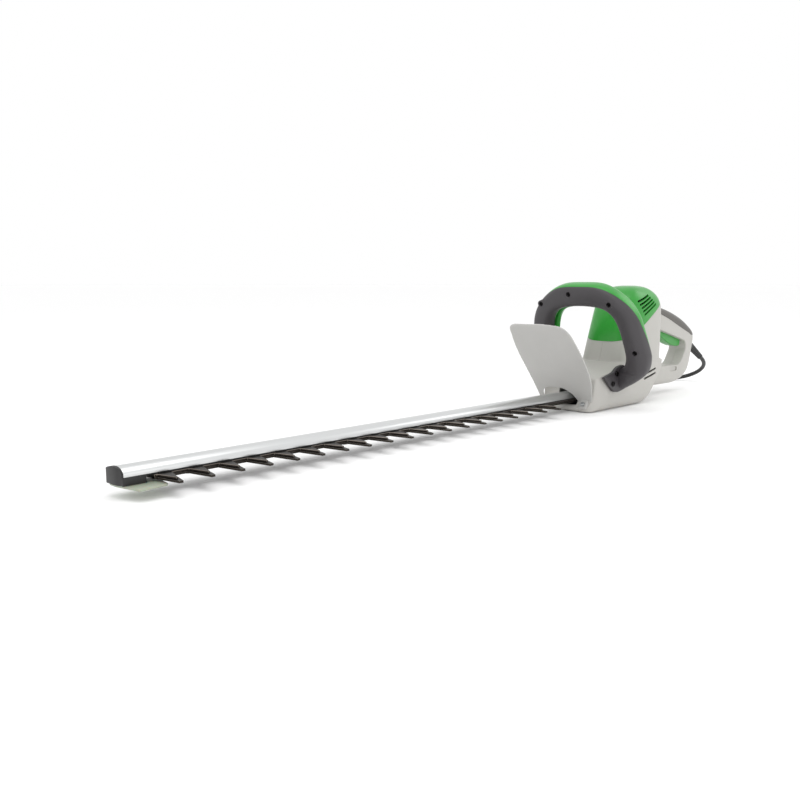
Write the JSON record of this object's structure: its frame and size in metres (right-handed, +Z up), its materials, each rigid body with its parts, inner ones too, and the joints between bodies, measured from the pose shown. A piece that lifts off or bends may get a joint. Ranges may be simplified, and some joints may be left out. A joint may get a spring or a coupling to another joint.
{
  "type": "hedge trimmer",
  "caption": "Corded electric hedge trimmer with single-sided reciprocating blades, a D-shaped front loop handle with switch bar, a milky hand shield and a closed rear grip.",
  "frame": {"origin": "on the underside of the base, below the axis of the drive gear", "axes": "+X along the bar towards its tip, +Y towards the toothed side, +Z up"},
  "size_m": [1.1745, 0.1932, 0.1864],
  "materials": {
    "light_grey_plastic": "satin",
    "green_plastic": "satin",
    "dark_grey_plastic": "fine grain",
    "soft_grip": "matte",
    "black_plastic": "matte",
    "black_rubber": "matte",
    "milky_plastic": "translucent",
    "frosted_plastic": "frosted",
    "aluminium": "extruded",
    "blade_steel": "darkened",
    "steel": "bright",
    "copper": "wound wire",
    "brass": "satin",
    "carbon": "pressed carbon",
    "film": "dipped"
  },
  "bodies": {
    "frame_body": {"housing_left": "light_grey_plastic", "housing_right": "light_grey_plastic", "base_cover": "light_grey_plastic", "top_cover": "green_plastic", "loop_rear_shell": "green_plastic", "loop_front_shell": "dark_grey_plastic", "grip_insert": "soft_grip", "slide_strip": "black_plastic", "end_cap": "black_plastic", "main_switch": "black_plastic", "loop_switch": "black_plastic", "plug": "black_plastic", "cord": "black_rubber", "strain_relief": "black_rubber", "hand_shield": "milky_plastic", "tip_guard": "frosted_plastic", "bar_profile": "aluminium", "gear_plate": "aluminium", "field_coil_front": "copper", "field_coil_rear": "copper", "brush_holder_left": "brass", "brush_holder_right": "brass", "brush_left": "carbon", "brush_right": "carbon", "capacitor": "film", "blade_bolt_1": "steel", "blade_bolt_2": "steel", "blade_bolt_3": "steel", "blade_bolt_4": "steel", "gear_shaft": "steel", "bar_screw_1": "steel", "bar_screw_2": "steel", "shield_screw_left": "steel", "shield_screw_right": "steel", "lower_bearing": "steel", "upper_bearing": "steel", "stator": "steel", "trigger_pin": "steel", "base_cover_screw_1": "steel", "base_cover_screw_2": "steel", "base_cover_screw_3": "steel", "base_cover_screw_4": "steel", "loop_screw_1": "steel", "loop_screw_2": "steel", "loop_screw_3": "steel", "loop_screw_4": "steel", "loop_screw_5": "steel", "foot_screw_left_1": "steel", "foot_screw_left_2": "steel", "foot_screw_right_1": "steel", "foot_screw_right_2": "steel"},
    "armature": {"armature_shaft": "steel", "armature_core": "steel", "commutator": "copper", "cooling_fan": "black_plastic"},
    "gear": {"drive_gear": "steel"},
    "upper_blade_body": {"upper_blade": "blade_steel"},
    "lower_blade_body": {"lower_blade": "blade_steel"},
    "trigger_body": {"trigger": "green_plastic"},
    "switch_bar_body": {"switch_bar": "green_plastic"}
  },
  "joints": [
    {"name": "motor_spin", "type": "hinge", "parent": "frame_body", "child": "armature", "pos_m": [-0.04562, 0, 0.08], "axis": [0, 0, 1], "continuous": true},
    {"name": "gear_spin", "type": "hinge", "parent": "frame_body", "child": "gear", "pos_m": [0, 0, 0.025], "axis": [0, 0, 1], "continuous": true},
    {"name": "upper_blade_slide", "type": "slide", "parent": "frame_body", "child": "upper_blade_body", "axis": [1, 0, 0], "range_m": [-0.005, 0.005]},
    {"name": "lower_blade_slide", "type": "slide", "parent": "frame_body", "child": "lower_blade_body", "axis": [1, 0, 0], "range_m": [-0.005, 0.005]},
    {"name": "trigger_squeeze", "type": "hinge", "parent": "frame_body", "child": "trigger_body", "pos_m": [-0.147, 0, 0.112], "axis": [0, 1, 0], "range_deg": [0, 4], "stiffness_Nm_per_rad": 1, "springref_deg": -5.73},
    {"name": "switch_bar_press", "type": "slide", "parent": "frame_body", "child": "switch_bar_body", "axis": [0.963, 0, -0.2696], "range_m": [0, 0.004], "stiffness_N_per_m": 800, "springref_m": -0.002}
  ],
  "couplings": [
    {"joint": "gear_spin", "follows": "motor_spin", "ratio": -0.14062},
    {"joint": "lower_blade_slide", "follows": "upper_blade_slide", "ratio": -1}
  ]
}
